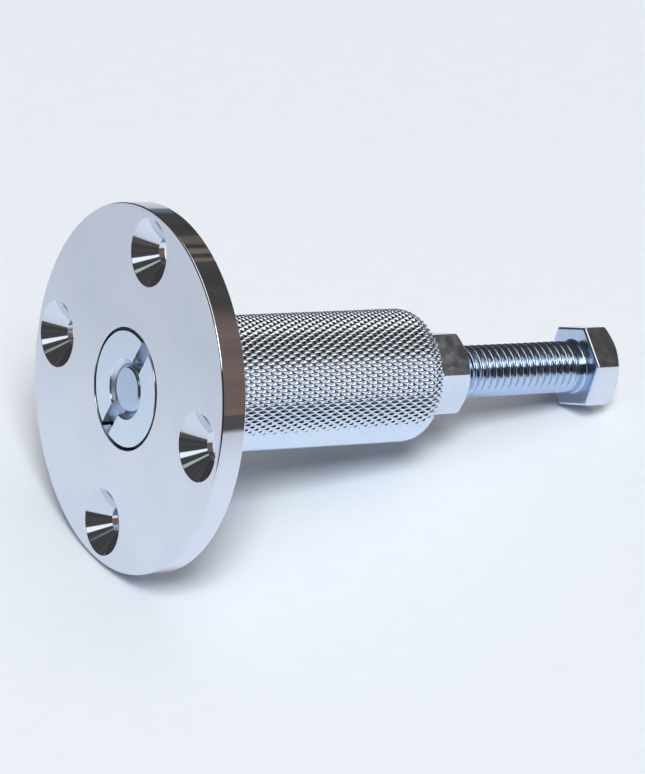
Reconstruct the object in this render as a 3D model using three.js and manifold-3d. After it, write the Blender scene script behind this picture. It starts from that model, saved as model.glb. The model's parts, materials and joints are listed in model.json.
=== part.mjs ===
// A flush-mount flanged levelling fitting: a round screw-down flange, a knurled barrel that turns in
// it, a long hexagon bolt through the barrel's thread, and a jam nut that locks the bolt.
// Millimetres, +Z up. The fitting lies on its flange rim and its bolt head, as it does when put down.
import * as THREE from "three";
import { mergeVertices } from "three/addons/utils/BufferGeometryUtils.js";
import Module from "manifold-3d";

const wasm = await Module();
wasm.setup();

// ---- Driving dimensions. A place is a distance along the axis from the flange's front face,
// and an angle is in degrees about the axis, from straight up.
const RUNNING_GAP = 0.3;
const EDGE_BREAK = 0.35;

const FLANGE_RADIUS = 42;
const FLANGE_THICKNESS = 6;
const FLANGE_BORE_RADIUS = 13.9;
const RELIEF_RADIUS = 16.2; // a shallow recess in the flange's back for the barrel's shoulder
const RELIEF_DEPTH = 0.35;

const SCREW_COUNT = 4;
const SCREW_CIRCLE_RADIUS = 32.9;
const SCREW_HOLE_RADIUS = 3.2;
const COUNTERSINK_RADIUS = 7.75;
const SCREW_PATTERN_ANGLE = -3.6;

const BARREL_RADIUS = 15.7;
const BARREL_END = 79;
const BARREL_END_ROUND = 5.6;
const END_ROUND_STEPS = 8;
const BARREL_BORE_RADIUS = 6.4;
const BARREL_MOUTH_RADIUS = 7;
const SLOT_WIDTH = 3.8;
const SLOT_DEPTH = 2.8;
const SLOT_ANGLE = 21;

const WIRE_RADIUS = 0.75;
const WIRE_PLACE = 4.1;
const WIRE_OPEN_ANGLE = 16;
const WIRE_STEPS = 48;
const WIRE_SIDES = 10;
const GROOVE_STEPS = 5;

const BOLT_THREAD_RADIUS = 6.1;
const BOLT_TIP_RADIUS = 4.9;
const BOLT_TIP_PLACE = 0.5;
const HEAD_PLACE = 124.7;
const HEAD_HEIGHT = 7.6;
const HEAD_ANGLE = 5.6;

const NUT_THICKNESS = 9.3;
const NUT_ANGLE = 6;

const HEX_ACROSS_FLATS = 18.8;
const HEX_FACE_SHARE = 0.96; // the round end face's radius, as a share of half the flats
const HEX_CHAMFER_SLOPE = Math.tan(radians(36));

const FLANGE_SIDES = 96;
const BARREL_SIDES = 72;
const BOLT_SIDES = 48;
const HOLE_SIDES = 32;
const OVERSHOOT = 1; // how far a cutting tool stands past what it cuts

// ---- Sizes that follow from them.
const NECK_RADIUS = FLANGE_BORE_RADIUS - RUNNING_GAP;
const BARREL_START = FLANGE_THICKNESS - RELIEF_DEPTH + RUNNING_GAP;
const NUT_PLACE = BARREL_END + RUNNING_GAP;
const WIRE_CIRCLE_RADIUS = (FLANGE_BORE_RADIUS + NECK_RADIUS) / 2;
const GROOVE_RADIUS = WIRE_RADIUS + RUNNING_GAP;
const HEX_CORNER_RADIUS = HEX_ACROSS_FLATS / 2 / Math.cos(Math.PI / 6);
const HEX_FACE_RADIUS = (HEX_ACROSS_FLATS / 2) * HEX_FACE_SHARE;
const HEX_CHAMFER_LENGTH = (HEX_CORNER_RADIUS - HEX_FACE_RADIUS) * HEX_CHAMFER_SLOPE;

function radians(degrees) {
  return THREE.MathUtils.degToRad(degrees);
}

// ---- Geometry helpers. Every piece is shaped about the X axis, with straight up along Z.
function solidOf(geometry) {
  const bare = new THREE.BufferGeometry();
  bare.setAttribute("position", geometry.getAttribute("position"));
  bare.setIndex(geometry.index);
  const merged = mergeVertices(bare, 1e-4);
  return new wasm.Manifold(
    new wasm.Mesh({
      numProp: 3,
      vertProperties: new Float32Array(merged.getAttribute("position").array),
      triVerts: new Uint32Array(merged.index.array),
    }),
  );
}

function geometryOf(solid) {
  const mesh = solid.getMesh();
  const geometry = new THREE.BufferGeometry();
  geometry.setAttribute("position", new THREE.BufferAttribute(mesh.vertProperties, 3));
  geometry.setIndex(new THREE.BufferAttribute(mesh.triVerts, 1));
  geometry.computeVertexNormals();
  return geometry;
}

// Turns an outline of [radius, place] points round the axis. Seen with the radius to the right
// and the place upwards, the outline runs anticlockwise.
function turned(outline, sides) {
  const points = outline.map(([radius, place]) => new THREE.Vector2(radius, place));
  return solidOf(new THREE.LatheGeometry(points, sides).rotateZ(-Math.PI / 2));
}

// The same, for an outline that closes on itself and leaves a hole along the axis.
function turnedRing(outline, sides) {
  return turned([...outline, outline[0]], sides);
}

// Points of an arc in an outline. Its angles run anticlockwise from the outward radius.
function arc(centre, radius, fromAngle, toAngle, steps) {
  return Array.from({ length: steps + 1 }, (_, i) => {
    const angle = radians(fromAngle + ((toAngle - fromAngle) * i) / steps);
    return [centre[0] + radius * Math.cos(angle), centre[1] + radius * Math.sin(angle)];
  });
}

// The point at a radius and an angle about the axis, at a place along it.
function pointAt(place, radius, angle) {
  const turn = radians(angle);
  return new THREE.Vector3(place, -radius * Math.sin(turn), radius * Math.cos(turn));
}

// A hexagon prism along the axis. A cone cuts its far end back to a round face.
function hexagon(place, length, cornerAngle) {
  const shape = new THREE.Shape();
  for (let corner = 0; corner < 6; corner += 1) {
    const at = pointAt(0, HEX_CORNER_RADIUS, cornerAngle + corner * 60);
    if (corner === 0) shape.moveTo(-at.z, at.y);
    else shape.lineTo(-at.z, at.y);
  }
  const prism = new THREE.ExtrudeGeometry(shape, { depth: length, bevelEnabled: false });
  prism.rotateY(Math.PI / 2).translate(place, 0, 0);
  const end = place + length;
  const coneRadius = HEX_CORNER_RADIUS + OVERSHOOT;
  const coneStart = end - (coneRadius - HEX_FACE_RADIUS) * HEX_CHAMFER_SLOPE;
  const cone = turned(
    [
      [0, place - OVERSHOOT],
      [coneRadius, place - OVERSHOOT],
      [coneRadius, coneStart],
      [HEX_FACE_RADIUS, end],
      [0, end],
    ],
    BOLT_SIDES,
  );
  return solidOf(prism).intersect(cone);
}

// ---- The flange: a disc with a bore for the barrel's neck and four countersunk screw holes.
function flange() {
  const grooveHalfAngle = grooveAngleAt(FLANGE_BORE_RADIUS);
  let made = turnedRing(
    [
      [FLANGE_BORE_RADIUS + EDGE_BREAK, 0],
      [FLANGE_RADIUS - EDGE_BREAK, 0],
      [FLANGE_RADIUS, EDGE_BREAK],
      [FLANGE_RADIUS, FLANGE_THICKNESS - EDGE_BREAK],
      [FLANGE_RADIUS - EDGE_BREAK, FLANGE_THICKNESS],
      [RELIEF_RADIUS, FLANGE_THICKNESS],
      [RELIEF_RADIUS, FLANGE_THICKNESS - RELIEF_DEPTH],
      [FLANGE_BORE_RADIUS, FLANGE_THICKNESS - RELIEF_DEPTH],
      ...arc(grooveCentre(), GROOVE_RADIUS, grooveHalfAngle, -grooveHalfAngle, GROOVE_STEPS),
      [FLANGE_BORE_RADIUS, EDGE_BREAK],
    ],
    FLANGE_SIDES,
  );
  for (let screw = 0; screw < SCREW_COUNT; screw += 1) {
    const angle = SCREW_PATTERN_ANGLE + (screw * 360) / SCREW_COUNT;
    const centre = pointAt(0, SCREW_CIRCLE_RADIUS, angle);
    made = made.subtract(countersunkHole().translate([centre.x, centre.y, centre.z]));
  }
  return made;
}

// The tool for one screw hole: a 90 degree countersink from the front, then a plain hole.
function countersunkHole() {
  return turned(
    [
      [0, -OVERSHOOT],
      [COUNTERSINK_RADIUS + OVERSHOOT, -OVERSHOOT],
      [SCREW_HOLE_RADIUS, COUNTERSINK_RADIUS - SCREW_HOLE_RADIUS],
      [SCREW_HOLE_RADIUS, FLANGE_THICKNESS + OVERSHOOT],
      [0, FLANGE_THICKNESS + OVERSHOOT],
    ],
    HOLE_SIDES,
  );
}

// ---- The wire ring's grooves: half in the flange's bore and half in the barrel's neck.
function grooveCentre() {
  return [WIRE_CIRCLE_RADIUS, WIRE_PLACE];
}

// The angle in the groove's round section at which it meets a wall of the given radius.
function grooveAngleAt(wallRadius) {
  const share = (wallRadius - WIRE_CIRCLE_RADIUS) / GROOVE_RADIUS;
  return THREE.MathUtils.radToDeg(Math.acos(share));
}

// ---- The barrel: a neck with the driving slot, a long body with a rounded end, and a bore.
function barrel() {
  const grooveEdge = grooveAngleAt(NECK_RADIUS);
  const endRoundCentre = [BARREL_RADIUS - BARREL_END_ROUND, BARREL_END - BARREL_END_ROUND];
  const mouthDepth = BARREL_MOUTH_RADIUS - BARREL_BORE_RADIUS;
  const body = turnedRing(
    [
      [BARREL_MOUTH_RADIUS, 0],
      [NECK_RADIUS - EDGE_BREAK, 0],
      [NECK_RADIUS, EDGE_BREAK],
      ...arc(grooveCentre(), GROOVE_RADIUS, 360 - grooveEdge, grooveEdge, GROOVE_STEPS),
      [NECK_RADIUS, BARREL_START],
      [BARREL_RADIUS - EDGE_BREAK, BARREL_START],
      [BARREL_RADIUS, BARREL_START + EDGE_BREAK],
      ...arc(endRoundCentre, BARREL_END_ROUND, 0, 90, END_ROUND_STEPS),
      [BARREL_BORE_RADIUS, BARREL_END],
      [BARREL_BORE_RADIUS, mouthDepth],
    ],
    BARREL_SIDES,
  );
  const slotLength = 2 * NECK_RADIUS + 2 * OVERSHOOT;
  const slot = new THREE.BoxGeometry(SLOT_DEPTH + OVERSHOOT, SLOT_WIDTH, slotLength);
  slot.translate((SLOT_DEPTH - OVERSHOOT) / 2, 0, 0).rotateX(radians(SLOT_ANGLE));
  return body.subtract(solidOf(slot));
}

// ---- The retaining ring: a split wire that sits across the gap between neck and bore.
class RingArc extends THREE.Curve {
  getPoint(t) {
    const angle = WIRE_OPEN_ANGLE / 2 + t * (360 - WIRE_OPEN_ANGLE);
    return pointAt(WIRE_PLACE, WIRE_CIRCLE_RADIUS, angle);
  }
}

function retainingRing() {
  const section = new THREE.Shape();
  section.absarc(0, 0, WIRE_RADIUS, 0, 2 * Math.PI);
  const wire = new THREE.ExtrudeGeometry(section, {
    steps: WIRE_STEPS,
    curveSegments: WIRE_SIDES / 2,
    bevelEnabled: false,
    extrudePath: new RingArc(),
  });
  return solidOf(wire);
}

// ---- The bolt: a threaded shank with a chamfered tip, and a hexagon head.
function adjustingBolt() {
  const tipLength = BOLT_THREAD_RADIUS - BOLT_TIP_RADIUS;
  const shank = turned(
    [
      [0, BOLT_TIP_PLACE],
      [BOLT_TIP_RADIUS, BOLT_TIP_PLACE],
      [BOLT_THREAD_RADIUS, BOLT_TIP_PLACE + tipLength],
      [BOLT_THREAD_RADIUS, HEAD_PLACE + OVERSHOOT],
      [0, HEAD_PLACE + OVERSHOOT],
    ],
    BOLT_SIDES,
  );
  return shank.add(hexagon(HEAD_PLACE, HEAD_HEIGHT, HEAD_ANGLE));
}

// ---- The jam nut: a thin hexagon nut against the barrel's end.
function jamNut() {
  const end = NUT_PLACE + NUT_THICKNESS;
  const bore = turned(
    [
      [0, NUT_PLACE - OVERSHOOT],
      [BARREL_BORE_RADIUS, NUT_PLACE - OVERSHOOT],
      [BARREL_BORE_RADIUS, end + OVERSHOOT],
      [0, end + OVERSHOOT],
    ],
    BOLT_SIDES,
  );
  return hexagon(NUT_PLACE, NUT_THICKNESS, NUT_ANGLE).subtract(bore);
}

// ---- Materials and meshes.
const chrome = { color: 0xc4cdd8, roughness: 0.08, metalness: 1 };
const zinc = { color: 0xb9c2cd, roughness: 0.18, metalness: 1 };
const springSteel = { color: 0x8d9297, roughness: 0.4, metalness: 1 };

function piece(name, solid, look) {
  const mesh = new THREE.Mesh(geometryOf(solid), new THREE.MeshStandardMaterial(look));
  mesh.name = name;
  return mesh;
}

const fitting = new THREE.Group();
fitting.add(piece("mounting_flange", flange(), chrome));
fitting.add(piece("retaining_ring", retainingRing(), springSteel));
fitting.add(piece("knurled_barrel", barrel(), chrome));
fitting.add(piece("adjusting_bolt", adjustingBolt(), zinc));
fitting.add(piece("jam_nut", jamNut(), zinc));

// ---- The lying pose: the axis slopes down from the flange until its rim and the head touch.
const headLowRadius = HEX_CORNER_RADIUS * Math.cos(radians(HEAD_ANGLE));
const headLowPlace = HEAD_PLACE + HEAD_HEIGHT - HEX_CHAMFER_LENGTH;
const rimLowPlace = FLANGE_THICKNESS - EDGE_BREAK;
const slope = Math.atan2(FLANGE_RADIUS - headLowRadius, headLowPlace - rimLowPlace);
fitting.rotation.y = slope;

const assembly = new THREE.Group();
assembly.add(fitting);
const bounds = new THREE.Box3().setFromObject(assembly, true);
const middle = bounds.getCenter(new THREE.Vector3());
fitting.position.set(-middle.x, -middle.y, -bounds.min.z);

export default assembly;
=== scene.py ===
"""The looks of a flush-mount levelling fitting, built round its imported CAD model.

The fitting is a chrome flange with a slotted, knurled barrel turning in it, a long hexagon bolt
threaded through the barrel, and a jam nut. Each visible piece is rebuilt here as a fine mesh about
the fitting's own axis, which comes from the frame. Lengths are in metres, angles in degrees.
"""

import json
import math

import bmesh
import bpy
import numpy as np
from mathutils import Matrix, Vector


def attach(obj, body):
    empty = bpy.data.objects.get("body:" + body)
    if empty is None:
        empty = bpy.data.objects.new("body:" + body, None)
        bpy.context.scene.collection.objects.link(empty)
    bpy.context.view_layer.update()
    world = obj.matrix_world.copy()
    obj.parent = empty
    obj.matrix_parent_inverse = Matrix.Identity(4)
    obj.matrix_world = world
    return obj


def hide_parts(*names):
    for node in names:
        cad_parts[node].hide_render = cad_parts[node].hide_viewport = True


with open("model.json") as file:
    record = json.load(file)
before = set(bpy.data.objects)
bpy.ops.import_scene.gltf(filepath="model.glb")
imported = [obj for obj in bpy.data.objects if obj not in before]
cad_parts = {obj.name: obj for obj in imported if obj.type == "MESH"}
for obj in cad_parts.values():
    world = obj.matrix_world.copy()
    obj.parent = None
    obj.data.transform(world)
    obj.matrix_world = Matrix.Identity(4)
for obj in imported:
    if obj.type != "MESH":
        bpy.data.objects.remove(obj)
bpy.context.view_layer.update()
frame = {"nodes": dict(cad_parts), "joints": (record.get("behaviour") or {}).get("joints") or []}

MM = 0.001


# ---------------------------------------------------------------- The fitting's own axis
# Local space: X runs along the axis from the flange's front face to the bolt's head, and Z is
# straight up as nearly as the sloping axis lets it be. An angle about the axis starts at Z and
# turns towards -Y, the way a right-hand screw turns when it moves along +X.

TURN = next(joint for joint in frame["joints"] if joint["name"] == "barrel_turn")
FACE_CENTRE = Vector(TURN["pos_m"])
AXIS = -Vector(TURN["axis"]).normalized()
ACROSS = Vector((0, 0, 1)).cross(AXIS).normalized()
TO_ROW = Matrix((AXIS, ACROSS, AXIS.cross(ACROSS))).transposed().to_4x4()
TO_ROW.translation = FACE_CENTRE
TO_LOCAL = TO_ROW.inverted()


def local_points(node):
    """The node's vertices in local space, one row each."""
    return np.array([TO_LOCAL @ vertex.co for vertex in frame["nodes"][node].data.vertices])


def span(node, beyond=0):
    """The node's first and last place along the axis, of its points beyond a radius."""
    points = local_points(node)
    places = points[np.hypot(points[:, 1], points[:, 2]) > beyond, 0]
    return float(places.min()), float(places.max())


def reach(node):
    """The node's largest distance from the axis."""
    points = local_points(node)
    return float(np.hypot(points[:, 1], points[:, 2]).max())


def corner_angle(node, from_place):
    """The angle about the axis, from 0 to 60, of a hexagon's corner past a place on the axis."""
    points = local_points(node)
    points = points[points[:, 0] > from_place]
    corner = points[np.hypot(points[:, 1], points[:, 2]).argmax()]
    return math.degrees(math.atan2(-corner[1], corner[2])) % 60


# ---------------------------------------------------------------- Driving dimensions
FLANGE_THICKNESS = span("mounting_flange")[1]
FLANGE_RADIUS = reach("mounting_flange")
FLANGE_BORE_RADIUS = 13.95 * MM
RELIEF_RADIUS = 16.2 * MM
RELIEF_DEPTH = 0.35 * MM
EDGE_ROUND = 0.35 * MM
HUB_EDGE_ROUND = 0.2 * MM
CORNER_STEPS = 5

SCREW_COUNT = 4
SCREW_CIRCLE_RADIUS = 32.9 * MM
SCREW_HOLE_RADIUS = 3.2 * MM
COUNTERSINK_RADIUS = 7.75 * MM
COUNTERSINK_SLOPE = 45
COUNTERSINK_EDGE_ROUND = 0.2 * MM
COUNTERSINK_EDGE_STEPS = 4
SCREW_PATTERN_ANGLE = -3.6

BARREL_RADIUS = reach("knurled_barrel")
BARREL_END = span("knurled_barrel")[1]
SHOULDER_GAP = 0.3 * MM
BARREL_START = FLANGE_THICKNESS - RELIEF_DEPTH + SHOULDER_GAP
BARREL_END_ROUND = 5.6 * MM
END_FACE_RADIUS = BARREL_RADIUS - BARREL_END_ROUND
NECK_GAP = 0.7 * MM
NECK_RADIUS = FLANGE_BORE_RADIUS - NECK_GAP
SLOT_WIDTH = 3.8 * MM
SLOT_DEPTH = 2.8 * MM
SLOT_ANGLE = 21
GROOVE_PLACE = 4.1 * MM
GROOVE_RADIUS = 1.05 * MM
GROOVE_CENTRE_RADIUS = 13.75 * MM
GROOVE_STEPS = 12

KNURL_COUNT = 60
KNURL_CELLS = 8
KNURL_LENGTH = 2.87 * MM
KNURL_DEPTH = 0.46 * MM
KNURL_FLAT_SHARE = 0.12
KNURL_FADE = 0.9 * MM

THREAD_LEAD = 25.4 / 13 * MM
THREAD_MAJOR_RADIUS = 6.25 * MM
THREAD_MINOR_RADIUS = 5.1 * MM
THREAD_FLANK_ANGLE = 30
THREAD_CLEARANCE = 0.08 * MM
TAP_CORE_RADIUS = 0.6 * THREAD_MINOR_RADIUS

# The thread's half crest, and its rounding as pairs of a place, in half crests from the middle,
# and a drop. The flank's end and the root's rounding are each a share of its own width and a
# rise above the root.
THREAD_CREST = THREAD_LEAD / 16
CREST_ROUNDING = ((0.8, 0.011 * MM), (1.6, 0.045 * MM), (2.3, 0.10 * MM))
FLANK_END = (0.86, 0.16 * MM)
ROOT_ROUNDING = (0.35, 0.02 * MM)

BARREL_MOUTH_RADIUS = 7.0 * MM
NUT_MOUTH_RADIUS = 6.8 * MM

BOLT_TIP, BOLT_END = span("adjusting_bolt")
BOLT_TIP_RADIUS = 4.9 * MM
# Points that round the tip's edge into its 45 degree chamfer, out from its radius and along
# from its face, and how far the chamfer itself lies further along.
BOLT_TIP_ROUNDING = ((-0.2 * MM, 0), (-0.05 * MM, 0.03 * MM), (0.1 * MM, 0.15 * MM))
BOLT_TIP_EASE = 0.05 * MM
BOLT_NECK_RADIUS = 6.1 * MM
BOLT_NECK_LENGTH = 2.6 * MM
BOLT_NECK_FILLET = 0.7 * MM
FILLET_STEPS = 6
HEAD_PLACE = span("adjusting_bolt", beyond=THREAD_MAJOR_RADIUS)[0]
HEAD_ANGLE = corner_angle("adjusting_bolt", HEAD_PLACE)
NUT_START, NUT_END = span("jam_nut")
NUT_ANGLE = corner_angle("jam_nut", NUT_START)

HEX_HALF_FLATS = 9.4 * MM
HEX_FACE_RADIUS = 0.96 * HEX_HALF_FLATS
HEX_CHAMFER_ANGLE = 36
HEX_CORNER_ROUND = 0.42 * MM
HEX_EDGE_ROUND = 0.65 * MM
HEX_EDGE_STEPS = 4
HALF_SIDE = math.radians(30)
HEX_CORNER_CENTRE = (HEX_HALF_FLATS - HEX_CORNER_ROUND) / math.cos(HALF_SIDE)
HEX_CORNER_COLUMNS = 7
HEX_SIDE_COLUMNS = 12

OVERSHOOT = 1 * MM
FLANGE_COLUMNS = 288
HOLE_COLUMNS = 144
THREAD_COLUMNS = 96
SHARP_ANGLE = math.radians(38)


# ---------------------------------------------------------------- Mesh tools, in local space
def ring(radius, place, angles):
    """A row of points about the axis, one for each angle."""
    turn = np.radians(angles)
    x = np.broadcast_to(place, turn.shape)
    return np.stack([x, -radius * np.sin(turn), radius * np.cos(turn)], axis=-1)


def even_angles(columns):
    """Angles that share the full circle between the columns."""
    return np.arange(columns) * 360 / columns


def arc(centre_radius, centre_place, radius, from_angle, to_angle, steps):
    """Points of an arc in an outline. 0 points away from the axis, 90 along it."""
    angles = np.radians(np.linspace(from_angle, to_angle, steps + 1))
    return [
        (centre_radius + radius * math.cos(angle), centre_place + radius * math.sin(angle))
        for angle in angles
    ]


def grid_quads(rows, columns, closed=False):
    """The quads between neighbouring rows of a grid that wraps round the axis."""
    row = np.arange(rows if closed else rows - 1)[:, None]
    column = np.arange(columns)[None, :]
    following = (column + 1) % columns
    above = (row + 1) % rows * columns
    here = row * columns
    corners = [here + column, here + following, above + following, above + column]
    return np.stack(np.broadcast_arrays(*corners), axis=-1).reshape(-1, 4).tolist()


def new_piece(name, vertices, faces):
    """An object with the mesh, its faces turned outwards."""
    mesh = bpy.data.meshes.new(name)
    mesh.from_pydata(np.asarray(vertices).tolist(), [], faces)
    work = bmesh.new()
    work.from_mesh(mesh)
    bmesh.ops.recalc_face_normals(work, faces=work.faces)
    work.to_mesh(mesh)
    work.free()
    piece = bpy.data.objects.new(name, mesh)
    bpy.context.scene.collection.objects.link(piece)
    return piece


def capped(name, rows, first_place, last_place, faces=None):
    """A solid from a grid of rows, closed by a point on the axis at each end."""
    rows = np.asarray(rows)
    count, columns = rows.shape[:2]
    first = count * columns
    last = first + 1
    vertices = np.vstack([rows.reshape(-1, 3), [[first_place, 0, 0], [last_place, 0, 0]]])
    faces = grid_quads(count, columns) if faces is None else faces
    top = (count - 1) * columns
    for column in range(columns):
        following = (column + 1) % columns
        faces.append([first, following, column])
        faces.append([last, top + column, top + following])
    return new_piece(name, vertices, faces)


def turned(name, outline, columns):
    """A solid turned from an outline of (radius, place) that starts and ends on the axis."""
    angles = even_angles(columns)
    rows = [ring(radius, place, angles) for radius, place in outline[1:-1]]
    return capped(name, rows, outline[0][1], outline[-1][1])


def turned_ring(name, outline, columns):
    """A ring turned from an outline of (radius, place) that closes on itself."""
    angles = even_angles(columns)
    rows = np.array([ring(radius, place, angles) for radius, place in outline])
    faces = grid_quads(len(outline), columns, closed=True)
    return new_piece(name, rows.reshape(-1, 3), faces)


def combine(piece, operation, *tools):
    """Cuts, joins or intersects the piece with each tool, and removes the tools."""
    for tool in tools:
        step = piece.modifiers.new("step", "BOOLEAN")
        step.solver = "MANIFOLD"
        step.operation = operation
        step.object = tool
    shaped = piece.evaluated_get(bpy.context.evaluated_depsgraph_get())
    before = piece.data
    piece.data = bpy.data.meshes.new_from_object(shaped)
    piece.modifiers.clear()
    bpy.data.meshes.remove(before)
    for tool in tools:
        bpy.data.meshes.remove(tool.data)
    return piece


def finish_piece(piece, body, node, material, rounded=None):
    """Shades a piece smooth between its sharp edges, and puts it in its place on its body.

    rounded says of an edge, in local space, that it is worn round however sharp its angle.
    """
    piece.name = piece.data.name = node + "_fine"
    work = bmesh.new()
    work.from_mesh(piece.data)
    for face in work.faces:
        face.smooth = True
    for edge in work.edges:
        if edge.calc_face_angle(0) > SHARP_ANGLE:
            edge.smooth = bool(rounded and rounded(edge))
    work.to_mesh(piece.data)
    work.free()
    flats = piece.modifiers.new("flats_stay_flat", "WEIGHTED_NORMAL")
    flats.keep_sharp = True
    piece.data.materials.clear()
    piece.data.materials.append(material)
    piece.matrix_world = TO_ROW
    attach(piece, body)
    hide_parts(node)


# ---------------------------------------------------------------- The flange
def groove_arc(wall_radius, outwards):
    """The ring groove's round section where it is cut into a wall of the given radius."""
    meets = math.degrees(math.acos((wall_radius - GROOVE_CENTRE_RADIUS) / GROOVE_RADIUS))
    ends = (meets, -meets) if outwards else (360 - meets, meets)
    return arc(GROOVE_CENTRE_RADIUS, GROOVE_PLACE, GROOVE_RADIUS, *ends, GROOVE_STEPS)


def rounded_corner(radius, place, from_angle, size=EDGE_ROUND):
    """A quarter turn of rounding, for an edge at a radius and a place."""
    inwards = -1 if math.cos(math.radians(from_angle + 45)) > 0 else 1
    onwards = -1 if math.sin(math.radians(from_angle + 45)) > 0 else 1
    centre = (radius + inwards * size, place + onwards * size)
    return arc(*centre, size, from_angle, from_angle + 90, CORNER_STEPS)


def flange():
    """The disc, with its bore, its ring groove and its countersunk holes."""
    outline = [
        *rounded_corner(FLANGE_BORE_RADIUS, 0, 180, HUB_EDGE_ROUND),
        *rounded_corner(FLANGE_RADIUS, 0, 270),
        *rounded_corner(FLANGE_RADIUS, FLANGE_THICKNESS, 0),
        (RELIEF_RADIUS, FLANGE_THICKNESS),
        (RELIEF_RADIUS, FLANGE_THICKNESS - RELIEF_DEPTH),
        (FLANGE_BORE_RADIUS, FLANGE_THICKNESS - RELIEF_DEPTH),
        *groove_arc(FLANGE_BORE_RADIUS, outwards=True),
    ]
    disc = turned_ring("flange", outline, FLANGE_COLUMNS)
    return combine(disc, "DIFFERENCE", *[screw_hole(screw) for screw in range(SCREW_COUNT)])


def screw_hole(screw):
    """The tool for one hole: a countersink with a softened edge, then a plain hole."""
    flare = COUNTERSINK_EDGE_ROUND * math.tan(math.radians(COUNTERSINK_SLOPE / 2))
    edge = arc(
        COUNTERSINK_RADIUS + flare, COUNTERSINK_EDGE_ROUND, COUNTERSINK_EDGE_ROUND,
        270, 270 - COUNTERSINK_SLOPE, COUNTERSINK_EDGE_STEPS,
    )
    outline = [
        (0, -OVERSHOOT),
        (edge[0][0], -OVERSHOOT),
        *edge,
        (SCREW_HOLE_RADIUS, COUNTERSINK_RADIUS - SCREW_HOLE_RADIUS),
        (SCREW_HOLE_RADIUS, FLANGE_THICKNESS + OVERSHOOT),
        (0, FLANGE_THICKNESS + OVERSHOOT),
    ]
    tool = turned("screw_hole", outline, HOLE_COLUMNS)
    angle = SCREW_PATTERN_ANGLE + screw * 360 / SCREW_COUNT
    middle = ring(SCREW_CIRCLE_RADIUS, 0, angle)
    tool.data.transform(Matrix.Translation(middle))
    return tool


# ---------------------------------------------------------------- Threads
def thread_profile(extra=0):
    """One turn's rounded 60 degree profile: (share of the lead, radius) from crest to crest."""
    depth = THREAD_MAJOR_RADIUS - THREAD_MINOR_RADIUS
    flank = depth * math.tan(math.radians(THREAD_FLANK_ANGLE))
    root = THREAD_LEAD / 2 - THREAD_CREST - flank
    flank_share, flank_rise = FLANK_END
    root_share, root_rise = ROOT_ROUNDING
    half = [
        (0, THREAD_MAJOR_RADIUS),
        *((THREAD_CREST * out, THREAD_MAJOR_RADIUS - drop) for out, drop in CREST_ROUNDING),
        (THREAD_CREST + flank * flank_share, THREAD_MINOR_RADIUS + flank_rise),
        (THREAD_CREST + flank + root * root_share, THREAD_MINOR_RADIUS + root_rise),
        (THREAD_LEAD / 2, THREAD_MINOR_RADIUS),
    ]
    mirrored = [(THREAD_LEAD - place, radius) for place, radius in half[-2:0:-1]]
    return [(place / THREAD_LEAD, radius + extra) for place, radius in half + mirrored]


def threaded_rod(name, first_place, last_place, extra=0):
    """A rod whose rows follow the thread's helix, so that its crests are clean lines.

    Crests pass through angle 0 at whole leads from the flange's face, in every threaded piece.
    """
    profile = thread_profile(extra)
    shares = np.array([share for share, _ in profile])
    radii = np.array([radius for _, radius in profile])
    first_turn = math.floor(first_place / THREAD_LEAD) - 1
    turns = math.ceil(last_place / THREAD_LEAD) + 1 - first_turn
    angles = even_angles(THREAD_COLUMNS)
    per_turn = len(profile)
    rows = [
        ring(
            radii[row % per_turn],
            (first_turn + row // per_turn + shares[row % per_turn] + angles / 360) * THREAD_LEAD,
            angles,
        )
        for row in range(turns * per_turn)
    ]
    count = len(rows)
    vertices = np.array(rows).reshape(-1, 3)
    faces = []
    for row in range(count - 1):
        start = row * THREAD_COLUMNS
        for column in range(THREAD_COLUMNS - 1):
            here = start + column
            faces.append([here, here + 1, here + 1 + THREAD_COLUMNS, here + THREAD_COLUMNS])
    for row in range(count - 1 - per_turn):
        here = row * THREAD_COLUMNS + THREAD_COLUMNS - 1
        wrapped = (row + per_turn) * THREAD_COLUMNS
        faces.append([here, wrapped, wrapped + THREAD_COLUMNS, here + THREAD_COLUMNS])
    return close_helix(name, vertices, faces, count, per_turn)


def close_helix(name, vertices, faces, count, per_turn):
    """Closes both ends of a helical grid with fans from a point on the axis."""
    columns = THREAD_COLUMNS
    first, last = len(vertices), len(vertices) + 1
    low = vertices[:, 0].min() - THREAD_LEAD
    high = vertices[:, 0].max() + THREAD_LEAD
    vertices = np.vstack([vertices, [[low, 0, 0], [high, 0, 0]]])
    top = (count - 1) * columns
    start_loop = list(range(columns))
    start_loop += [row * columns for row in range(per_turn, 0, -1)]
    end_loop = [top + column for column in range(columns)]
    end_loop += [top - step * columns + columns - 1 for step in range(1, per_turn + 1)]
    for middle, loop in ((first, start_loop), (last, end_loop[::-1])):
        faces += [[middle, *edge] for edge in zip(loop, loop[1:] + loop[:1])]
    return new_piece(name, vertices, faces)


def tap(name, first_place, last_place, mouth):
    """The tool for a threaded hole, with a cone of the mouth's radius at each end."""
    tool = threaded_rod(name, first_place, last_place, THREAD_CLEARANCE)
    mouths = [
        (0, first_place - OVERSHOOT),
        (mouth + OVERSHOOT, first_place - OVERSHOOT),
        (TAP_CORE_RADIUS, first_place + mouth - TAP_CORE_RADIUS),
        (TAP_CORE_RADIUS, last_place - mouth + TAP_CORE_RADIUS),
        (mouth + OVERSHOOT, last_place + OVERSHOOT),
        (0, last_place + OVERSHOOT),
    ]
    return combine(tool, "UNION", turned("mouths", mouths, HOLE_COLUMNS))


# ---------------------------------------------------------------- The barrel
def wave(phase):
    """A triangle wave from 0 at whole numbers to 1 halfway between them."""
    return 1 - np.abs((phase % 1) * 2 - 1)


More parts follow.
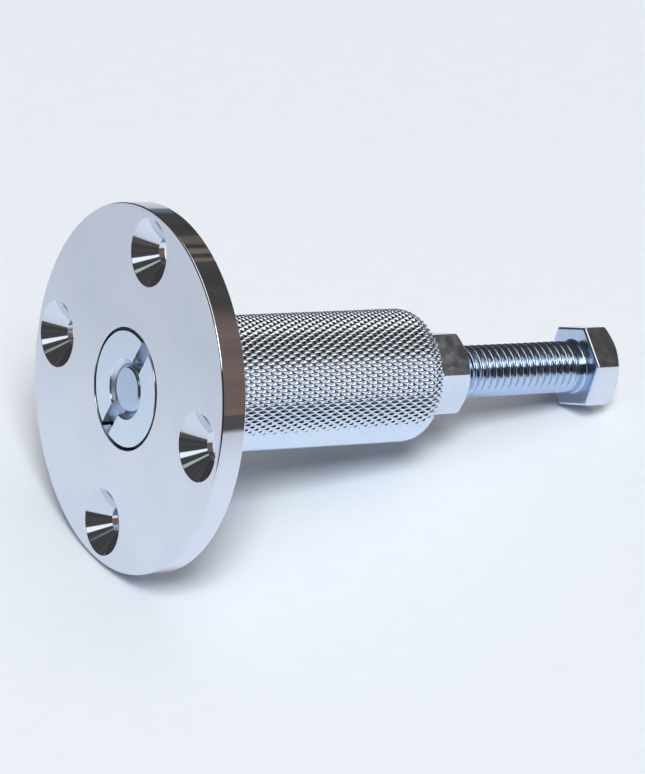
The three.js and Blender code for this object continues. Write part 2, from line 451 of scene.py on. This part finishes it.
def knurl_height(column, row):
    """The diamond pattern's height, from 0 in the grooves to 1 on the flattened tips."""
    one_way = wave((column + row) / KNURL_CELLS)
    other_way = wave((column - row) / KNURL_CELLS)
    return np.minimum(np.minimum(one_way, other_way) / (1 - KNURL_FLAT_SHARE), 1)


def knurl_split(row, column):
    """Whether a groove or a ridge runs across this cell of the grid from lower right."""
    return (row + column + 1) % (KNURL_CELLS // 2) == 0


def barrel():
    """The neck with its slot, the knurled body with its rounded end, and the threaded bore."""
    columns = KNURL_COUNT * KNURL_CELLS
    angles = even_angles(columns)
    neck = [
        *rounded_corner(NECK_RADIUS, 0, 270, HUB_EDGE_ROUND),
        *groove_arc(NECK_RADIUS, outwards=False),
        (NECK_RADIUS, BARREL_START),
        (BARREL_RADIUS - KNURL_DEPTH - EDGE_ROUND, BARREL_START),
    ]
    rows = [ring(radius, place, angles) for radius, place in neck]
    plain_rows = len(rows)
    straight = BARREL_END - BARREL_END_ROUND - BARREL_START - EDGE_ROUND
    total = straight + BARREL_END_ROUND * math.pi / 2
    step = KNURL_LENGTH / KNURL_CELLS
    count = int(total / step)
    for row in range(count + 1):
        along = row * step
        bend = min(max(along - straight, 0) / BARREL_END_ROUND, math.pi / 2)
        fade = min(1, (along + EDGE_ROUND) / KNURL_FADE, (total - along) / KNURL_FADE)
        height = knurl_height(np.arange(columns), row) * fade - 1
        lift = BARREL_END_ROUND * np.ones(columns) + height * KNURL_DEPTH
        radius = END_FACE_RADIUS + lift * math.cos(bend)
        base = BARREL_START + EDGE_ROUND + min(along, straight)
        rows.append(ring(radius, base + lift * math.sin(bend), angles))
    faces = grid_quads(plain_rows, columns)
    faces += knurl_faces(plain_rows - 1, len(rows) - plain_rows, columns)
    body = capped("barrel", rows, 0, rows[-1][0][0], faces)
    combine(body, "DIFFERENCE", slot_cutter())
    return combine(body, "DIFFERENCE", tap("barrel_tap", 0, BARREL_END, BARREL_MOUTH_RADIUS))


def knurl_faces(first_row, rows, columns):
    """Triangles of the knurled rows, with the diagonals laid along the grooves and ridges."""
    faces = []
    for row in range(rows):
        for column in range(columns):
            following = (column + 1) % columns
            here = (first_row + row) * columns
            above = here + columns
            a, b, c, d = here + column, here + following, above + following, above + column
            if knurl_split(row - 1, column):
                faces += [[a, b, d], [b, c, d]]
            else:
                faces += [[a, b, c], [a, c, d]]
    return faces


def knurl_ridge(edge):
    """Whether an edge is a ridge of the knurling, and not one of its grooves."""
    point = edge.verts[0].co
    past_shoulder = point.x > BARREL_START + EDGE_ROUND / 2
    past_end_face = math.hypot(point.y, point.z) > END_FACE_RADIUS - EDGE_ROUND
    return past_shoulder and past_end_face and edge.is_convex


def slot_cutter():
    """The tool for the screwdriver slot across the barrel's front."""
    size = Vector((SLOT_DEPTH + OVERSHOOT, SLOT_WIDTH, 2 * NECK_RADIUS + 2 * OVERSHOOT))
    work = bmesh.new()
    bmesh.ops.create_cube(work, size=1)
    bmesh.ops.scale(work, vec=size, verts=work.verts)
    bmesh.ops.translate(work, vec=((SLOT_DEPTH - OVERSHOOT) / 2, 0, 0), verts=work.verts)
    turn = Matrix.Rotation(math.radians(SLOT_ANGLE), 3, "X")
    bmesh.ops.rotate(work, matrix=turn, verts=work.verts)
    mesh = bpy.data.meshes.new("slot")
    work.to_mesh(mesh)
    work.free()
    tool = bpy.data.objects.new("slot", mesh)
    bpy.context.scene.collection.objects.link(tool)
    return tool


# ---------------------------------------------------------------- The bolt and the nut
def corner_share(corner_round):
    """The angle from a hexagon's corner at which its rounding meets the flat side."""
    along = HEX_CORNER_CENTRE + corner_round * math.cos(HALF_SIDE)
    return math.atan2(corner_round * math.sin(HALF_SIDE), along)


def hex_radius(angles, inset):
    """The distance from the axis to a round-cornered hexagon's sides, moved in by an inset."""
    corner_round = HEX_CORNER_ROUND - inset
    from_corner = np.radians(np.abs((angles + 30) % 60 - 30))
    flat = (HEX_HALF_FLATS - inset) / np.cos(HALF_SIDE - from_corner)
    across = np.minimum(HEX_CORNER_CENTRE * np.sin(from_corner), corner_round)
    rounded = HEX_CORNER_CENTRE * np.cos(from_corner) + np.sqrt(corner_round**2 - across**2)
    return np.where(from_corner < corner_share(corner_round), rounded, flat)


def hex_angles():
    """Columns for a hexagon whose first corner is at 0, close together at the corners."""
    meets = math.degrees(corner_share(HEX_CORNER_ROUND))
    corner = meets * np.linspace(-1, 1, HEX_CORNER_COLUMNS)
    side = np.linspace(meets, 60 - meets, HEX_SIDE_COLUMNS + 2)[1:-1]
    return np.concatenate([np.append(corner, side) + 60 * turn for turn in range(6)])


def hexagon(name, first_place, last_place, angle):
    """A hexagon along the axis with softened edges, its far end cut back by a cone."""
    columns = hex_angles()
    outline = []
    for turn in np.linspace(0, math.pi / 2, HEX_EDGE_STEPS + 1):
        inset = hex_radius(columns, HEX_EDGE_ROUND * (1 - math.sin(turn)))
        outline.append((inset, first_place + HEX_EDGE_ROUND * (1 - math.cos(turn))))
    chamfer = math.radians(HEX_CHAMFER_ANGLE)
    full = hex_radius(columns, 0)
    side_end = last_place - (full - HEX_FACE_RADIUS) * math.tan(chamfer)
    cut = HEX_EDGE_ROUND / 2
    inwards = cut * math.cos(chamfer)
    onwards = cut * math.sin(chamfer)
    outline += [
        (full, side_end - cut),
        (full - inwards / 4, side_end + (onwards - cut) / 4),
        (full - inwards, side_end + onwards),
        (HEX_FACE_RADIUS + inwards, last_place - onwards),
        (HEX_FACE_RADIUS + (inwards - cut) / 4, last_place - onwards / 4),
        (HEX_FACE_RADIUS - cut, last_place),
    ]
    rows = [ring(radius, place, columns + angle) for radius, place in outline]
    return capped(name, rows, first_place, last_place)


def bolt():
    """The threaded shank with its chamfered tip, a plain neck and the hexagon head."""
    tip_length = THREAD_MAJOR_RADIUS - BOLT_TIP_RADIUS + OVERSHOOT
    neck_place = HEAD_PLACE - BOLT_NECK_LENGTH
    envelope = [
        (0, BOLT_TIP),
        *((BOLT_TIP_RADIUS + out, BOLT_TIP + along) for out, along in BOLT_TIP_ROUNDING),
        (BOLT_TIP_RADIUS + tip_length, BOLT_TIP + tip_length + BOLT_TIP_EASE),
        (BOLT_TIP_RADIUS + tip_length, neck_place),
        (THREAD_MINOR_RADIUS, neck_place + OVERSHOOT),
        (0, neck_place + OVERSHOOT),
    ]
    shank = threaded_rod("bolt", BOLT_TIP, neck_place + OVERSHOOT)
    combine(shank, "INTERSECT", turned("envelope", envelope, THREAD_COLUMNS))
    fillet = arc(
        BOLT_NECK_RADIUS + BOLT_NECK_FILLET, HEAD_PLACE - BOLT_NECK_FILLET, BOLT_NECK_FILLET,
        180, 90, FILLET_STEPS,
    )
    neck = [
        (0, neck_place - OVERSHOOT),
        (THREAD_MINOR_RADIUS, neck_place - OVERSHOOT / 2),
        (BOLT_NECK_RADIUS, neck_place + OVERSHOOT / 2),
        *fillet,
        (BOLT_NECK_RADIUS, HEAD_PLACE + OVERSHOOT),
        (0, HEAD_PLACE + OVERSHOOT),
    ]
    head = hexagon("head", HEAD_PLACE, BOLT_END, HEAD_ANGLE)
    return combine(shank, "UNION", turned("neck", neck, THREAD_COLUMNS), head)


def nut():
    """The jam nut: a thin hexagon with a threaded hole."""
    body = hexagon("nut", NUT_START, NUT_END, NUT_ANGLE)
    return combine(body, "DIFFERENCE", tap("nut_tap", NUT_START, NUT_END, NUT_MOUTH_RADIUS))


# ---------------------------------------------------------------- Materials
# Noise scales are in features to the metre.
DRIFT_SCALE = 70
RIPPLE_SCALE = 240
HAZE_SCALE = 420
GRAIN_SCALE = 5200
PAPER_SCALE = 160
WORLD_SCALE = 6

MILLED_ROUGHNESS = 0.4
MILLED_EDGE = 0.1 * MM
# The painted shade on the bolt's shank fades out over this length at the head.
SHANK_SHADE_EDGE = 0.4 * MM


def add_node(tree, kind, values=None, **settings):
    """Adds a shader node, sets its properties, and sets or links the inputs in values."""
    node = tree.nodes.new(kind)
    for setting, value in settings.items():
        setattr(node, setting, value)
    for socket, value in (values or {}).items():
        if isinstance(value, bpy.types.NodeSocket):
            tree.links.new(value, node.inputs[socket])
        else:
            node.inputs[socket].default_value = value
    return node


def noise(tree, place, scale, detail=3):
    """A noise value from 0 to 1, with about scale features to the metre."""
    values = {"Vector": place, "Scale": scale, "Detail": detail}
    return add_node(tree, "ShaderNodeTexNoise", values).outputs["Fac"]


def between(tree, value, low, high, from_low=0.35, from_high=0.65):
    """The value stretched from one range, by default a noise's middle, to another, and clamped."""
    values = {
        "Value": value, "From Min": from_low, "From Max": from_high, "To Min": low, "To Max": high
    }
    return add_node(tree, "ShaderNodeMapRange", values).outputs["Result"]


def blend_colours(tree, share, one, other):
    """A mix of two colours, each a tuple or a socket.

    The mix node has a set of sockets for each kind of value: these are its colour ones.
    """
    mix = add_node(tree, "ShaderNodeMix", data_type="RGBA")
    tree.links.new(share, mix.inputs["Factor"])
    for socket, colour in ((mix.inputs[6], one), (mix.inputs[7], other)):
        if isinstance(colour, bpy.types.NodeSocket):
            tree.links.new(colour, socket)
        else:
            socket.default_value = (*colour, 1)
    return mix.outputs[2]


def darker(share, colour):
    """The colour with each part reduced to a share of it."""
    return tuple(share * part for part in colour)


def plating(name, light, dark, smooth, rough, ripple, grain, shank_shade=None, milled=None):
    """A bright metal plating: slow colour and roughness drifts, faint ripples and fine grain.

    The (place, tint) pair that comes first is painted shade: it tints the plating darker and
    bluer up to that place along the axis, standing in for the shade on the threaded shank.
    milled is the first and last place of a stretch that its cutter left duller.
    """
    material = bpy.data.materials.new(name)
    material.use_nodes = True
    tree = material.node_tree
    shader = tree.nodes["Principled BSDF"]
    shader.inputs["Metallic"].default_value = 1
    place = add_node(tree, "ShaderNodeTexCoord").outputs["Object"]
    drift = noise(tree, place, DRIFT_SCALE)
    colour = blend_colours(tree, between(tree, drift, 0, 1), light, dark)
    along = add_node(tree, "ShaderNodeSeparateXYZ", {"Vector": place}).outputs["X"]
    # Painted shade: up to the given place the colour is tinted darker and bluer, standing in for
    # the shade on the shank's threads.
    if shank_shade:
        last, tint = shank_shade
        share = between(tree, along, 1, 0, last, last + SHANK_SHADE_EDGE)
        colour = blend_colours(tree, share, colour, tint)
    tree.links.new(colour, shader.inputs["Base Color"])
    haze = noise(tree, place, HAZE_SCALE, detail=5)
    roughness = between(tree, haze, smooth, rough)
    if milled:
        first, last = milled
        dulled = between(tree, along, roughness, MILLED_ROUGHNESS, first, first + MILLED_EDGE)
        roughness = between(tree, along, dulled, roughness, last, last + MILLED_EDGE)
    tree.links.new(roughness, shader.inputs["Roughness"])
    waves = add_node(
        tree, "ShaderNodeBump",
        {"Height": noise(tree, place, RIPPLE_SCALE), "Strength": 1, "Distance": ripple},
    )
    fine = add_node(
        tree, "ShaderNodeBump",
        {
            "Height": noise(tree, place, GRAIN_SCALE, detail=2),
            "Strength": 1,
            "Distance": grain,
            "Normal": waves.outputs["Normal"],
        },
    )
    tree.links.new(fine.outputs["Normal"], shader.inputs["Normal"])
    return material


# ---------------------------------------------------------------- Studio
CAMERA_AZIMUTH = -30.22
CAMERA_ELEVATION = 30.92
CAMERA_DISTANCE = 0.9293
CAMERA_LENS = 186.0
AIM_PLACE = 53.5 * MM
AIM_ABOVE_AXIS = -2.14 * MM

FLOOR_COLOUR = (0.765, 0.822, 0.893)
REFLECTED_FLOOR_COLOUR = (0.77, 0.83, 0.91)
BACKDROP_COLOUR = (0.78, 0.83, 0.90)
ROOM_COLOUR = (0.082, 0.076, 0.073)
FLOOR_SIZE = 12
PAPER_MOTTLE = 0.985
ROOM_MOTTLE = 0.7
CARD_MOTTLE = 0.75

# The metal reflects a floor that is pale near the fitting only. These are the stretches in which
# it fades, in metres from the origin: in front (negative is towards the camera), to the
# camera's right, and outwards, where it only dims to a share.
FLOOR_FRONT = (-0.28, -0.20)
FLOOR_RIGHT = (0.23, 0.32)
FLOOR_AWAY = (0.10, 0.26)
FLOOR_AWAY_SHARE = 0.8


def direction(azimuth, elevation):
    """The unit vector at an azimuth, 0 along +Y and 90 along +X, and an elevation."""
    turn = math.radians(azimuth)
    tilt = math.radians(elevation)
    return Vector(
        (math.sin(turn) * math.cos(tilt), math.cos(turn) * math.cos(tilt), math.sin(tilt))
    )


def make_camera():
    """A long lens from the front left, looking down on the fitting, with no roll."""
    back = direction(180 - CAMERA_AZIMUTH, CAMERA_ELEVATION)
    aim = TO_ROW @ Vector((AIM_PLACE, 0, AIM_ABOVE_AXIS))
    data = bpy.data.cameras.new("camera")
    data.lens = CAMERA_LENS
    data.sensor_width = 36
    data.clip_start = 0.01
    camera = bpy.data.objects.new("camera", data)
    camera.location = aim + back * CAMERA_DISTANCE
    camera.rotation_euler = back.to_track_quat("Z", "Y").to_euler()
    bpy.context.scene.collection.objects.link(camera)
    bpy.context.scene.camera = camera


def make_floor():
    """A large pale floor. Only its near part is lit in reflections, as under a studio light."""
    mesh = bpy.data.meshes.new("floor")
    half = FLOOR_SIZE / 2
    corners = [(-half, -half, 0), (half, -half, 0), (half, half, 0), (-half, half, 0)]
    mesh.from_pydata(corners, [], [(0, 1, 2, 3)])
    floor = bpy.data.objects.new("floor", mesh)
    bpy.context.scene.collection.objects.link(floor)
    material = bpy.data.materials.new("floor_paper")
    material.use_nodes = True
    tree = material.node_tree
    place = add_node(tree, "ShaderNodeTexCoord").outputs["Object"]
    turned_place = add_node(
        tree, "ShaderNodeVectorRotate",
        {"Vector": place, "Angle": math.radians(-CAMERA_AZIMUTH)}, rotation_type="Z_AXIS",
    ).outputs["Vector"]
    axes = add_node(tree, "ShaderNodeSeparateXYZ", {"Vector": turned_place})
    front = between(tree, axes.outputs["Y"], 0, 1, *FLOOR_FRONT)
    right = between(tree, axes.outputs["X"], 1, 0, *FLOOR_RIGHT)
    distance = add_node(
        tree, "ShaderNodeVectorMath", {0: place}, operation="LENGTH"
    ).outputs["Value"]
    away = between(tree, distance, 1, FLOOR_AWAY_SHARE, *FLOOR_AWAY)
    lit = multiply(tree, multiply(tree, front, away), right)
    reflected = blend_colours(tree, lit, ROOM_COLOUR, REFLECTED_FLOOR_COLOUR)
    glossy = add_node(tree, "ShaderNodeLightPath").outputs["Is Glossy Ray"]
    mottle = between(tree, noise(tree, place, PAPER_SCALE, detail=6), 0, 1, 0.3, 0.7)
    paper = blend_colours(tree, mottle, darker(PAPER_MOTTLE, FLOOR_COLOUR), FLOOR_COLOUR)
    shader = tree.nodes["Principled BSDF"]
    shader.inputs["Roughness"].default_value = 0.9
    shader.inputs["Specular IOR Level"].default_value = 0.1
    colour = blend_colours(tree, glossy, paper, reflected)
    tree.links.new(colour, shader.inputs["Base Color"])
    mesh.materials.append(material)


def multiply(tree, one, other):
    """The product of two values, each a number or a socket."""
    values = {0: one, 1: other}
    return add_node(tree, "ShaderNodeMath", values, operation="MULTIPLY").outputs["Value"]


# Cards that the metal reflects, painted on the world. Each has the azimuth of its middle, half its
# width, the elevation of its middle, half its height and the softness of its edge, all in
# degrees, and its colour.
CARDS = {
    "brown_wall": (137, 28, 14, 30, 12, (0.23, 0.165, 0.14)),
    "dark_doorway": (80, 34, 9, 12, 6, (0.018, 0.018, 0.02)),
    "far_edge": (10, 62, 0, 6, 5, (0.20, 0.23, 0.28)),
    "white_strip": (-110, 9, 41, 5, 2, (1.25, 1.3, 1.35)),
    "green_strip": (-73, 8, 56, 1.6, 1.5, (0.50, 0.68, 0.56)),
    "slat_low": (51, 3, 30, 4, 1.5, (0.19, 0.155, 0.13)),
    "slat_middle": (59, 2, 36, 4, 1.5, (0.28, 0.22, 0.17)),
    "slat_high": (66, 1.5, 40, 4, 1.5, (0.24, 0.18, 0.14)),
    "behind_camera": (-157, 23, 12, 26, 8, (0.015, 0.015, 0.017)),
    "beside_camera": (170, 11, 12, 26, 8, (0.015, 0.015, 0.017)),
    "overhead": (106, 76, 68, 20, 4, (1.6, 1.5, 1.4)),
    "overhead_near": (-163, 17, 68, 20, 4, (1.6, 1.5, 1.4)),
    "key": (-158, 15, 51, 11, 6, (7.5, 7.4, 7.2)),
}


def make_world():
    """A dark room with a few lit cards for the metal to reflect, pale where the camera looks."""
    world = bpy.data.worlds.new("studio")
    bpy.context.scene.world = world
    world.use_nodes = True
    tree = world.node_tree
    ray = add_node(tree, "ShaderNodeTexCoord").outputs["Generated"]
    axes = add_node(tree, "ShaderNodeSeparateXYZ", {"Vector": ray})
    turn = add_node(
        tree, "ShaderNodeMath", {0: axes.outputs["X"], 1: axes.outputs["Y"]}, operation="ARCTAN2"
    ).outputs["Value"]
    azimuth = multiply(tree, turn, 180 / math.pi)
    rise = add_node(tree, "ShaderNodeMath", {0: axes.outputs["Z"]}, operation="ARCSINE")
    elevation = multiply(tree, rise.outputs["Value"], 180 / math.pi)
    mottle = between(tree, noise(tree, ray, WORLD_SCALE, detail=5), 0, 1)
    colour = blend_colours(tree, mottle, darker(ROOM_MOTTLE, ROOM_COLOUR), ROOM_COLOUR)
    for turned_to, half_width, raised_to, half_height, soft, glow in CARDS.values():
        share = multiply(
            tree,
            window(tree, azimuth, turned_to, half_width, soft),
            window(tree, elevation, raised_to, half_height, soft),
        )
        mottled = blend_colours(tree, mottle, darker(CARD_MOTTLE, glow), glow)
        colour = blend_colours(tree, share, colour, mottled)
    seen = add_node(tree, "ShaderNodeLightPath").outputs["Is Camera Ray"]
    colour = blend_colours(tree, seen, colour, BACKDROP_COLOUR)
    tree.links.new(colour, tree.nodes["Background"].inputs["Color"])


def window(tree, value, middle, half, soft):
    """1 where the value is within half of the middle, falling to 0 over the softness."""
    away = add_node(tree, "ShaderNodeMath", {0: value, 1: middle}, operation="SUBTRACT")
    away = add_node(tree, "ShaderNodeMath", {0: away.outputs["Value"]}, operation="ABSOLUTE")
    return between(tree, away.outputs["Value"], 1, 0, half - soft / 2, half + soft / 2)


SOFTBOX_AZIMUTH = 204
SOFTBOX_ELEVATION = 50
SOFTBOX_DISTANCE = 7.0
SOFTBOX_SIZE = 2.4
SOFTBOX_POWER = 345
SOFTBOX_COLOUR = (0.985, 0.99, 1.0)


def make_softbox():
    """A square softbox above and in front. The metal reflects the world's key card instead."""
    data = bpy.data.lights.new("softbox", "AREA")
    data.shape = "SQUARE"
    data.size = SOFTBOX_SIZE
    data.energy = SOFTBOX_POWER
    data.color = SOFTBOX_COLOUR
    softbox = bpy.data.objects.new("softbox", data)
    towards = direction(SOFTBOX_AZIMUTH, SOFTBOX_ELEVATION)
    softbox.location = towards * SOFTBOX_DISTANCE
    softbox.rotation_euler = towards.to_track_quat("Z", "Y").to_euler()
    softbox.visible_glossy = False
    bpy.context.scene.collection.objects.link(softbox)


# ---------------------------------------------------------------- The scene
make_camera()
make_floor()
make_world()
make_softbox()
bpy.context.scene.view_settings.view_transform = "Standard"

flange_chrome = plating(
    "flange_chrome", (0.74, 0.78, 0.86), (0.70, 0.745, 0.83), 0.03, 0.06, 0.004 * MM, 0.0003 * MM
)
barrel_chrome = plating(
    "barrel_chrome", (0.72, 0.81, 0.93), (0.68, 0.78, 0.91), 0.03, 0.07, 0.002 * MM, 0.0004 * MM,
    milled=(HUB_EDGE_ROUND, SLOT_DEPTH + MILLED_EDGE),
)
# The bolt's shank carries painted shade, a darker and bluer tint that ends at the head.
bolt_plating = plating(
    "bolt_plating", (0.74, 0.80, 0.88), (0.66, 0.72, 0.82), 0.11, 0.22, 0.012 * MM, 0.0012 * MM,
    shank_shade=(HEAD_PLACE, (0.50, 0.62, 0.80)),
)
nut_plating = plating(
    "nut_plating", (0.76, 0.83, 0.93), (0.66, 0.73, 0.85), 0.13, 0.27, 0.022 * MM, 0.0020 * MM
)
ring_steel = plating(
    "ring_steel", (0.42, 0.43, 0.45), (0.33, 0.33, 0.34), 0.30, 0.45, 0.001 * MM, 0.001 * MM
)

finish_piece(flange(), "flange", "mounting_flange", flange_chrome)
finish_piece(
    barrel(), "barrel", "knurled_barrel", barrel_chrome, rounded=knurl_ridge
)
finish_piece(bolt(), "bolt", "adjusting_bolt", bolt_plating)
finish_piece(nut(), "nut", "jam_nut", nut_plating)

for ring_slot in frame["nodes"]["retaining_ring"].material_slots:
    ring_slot.material = ring_steel
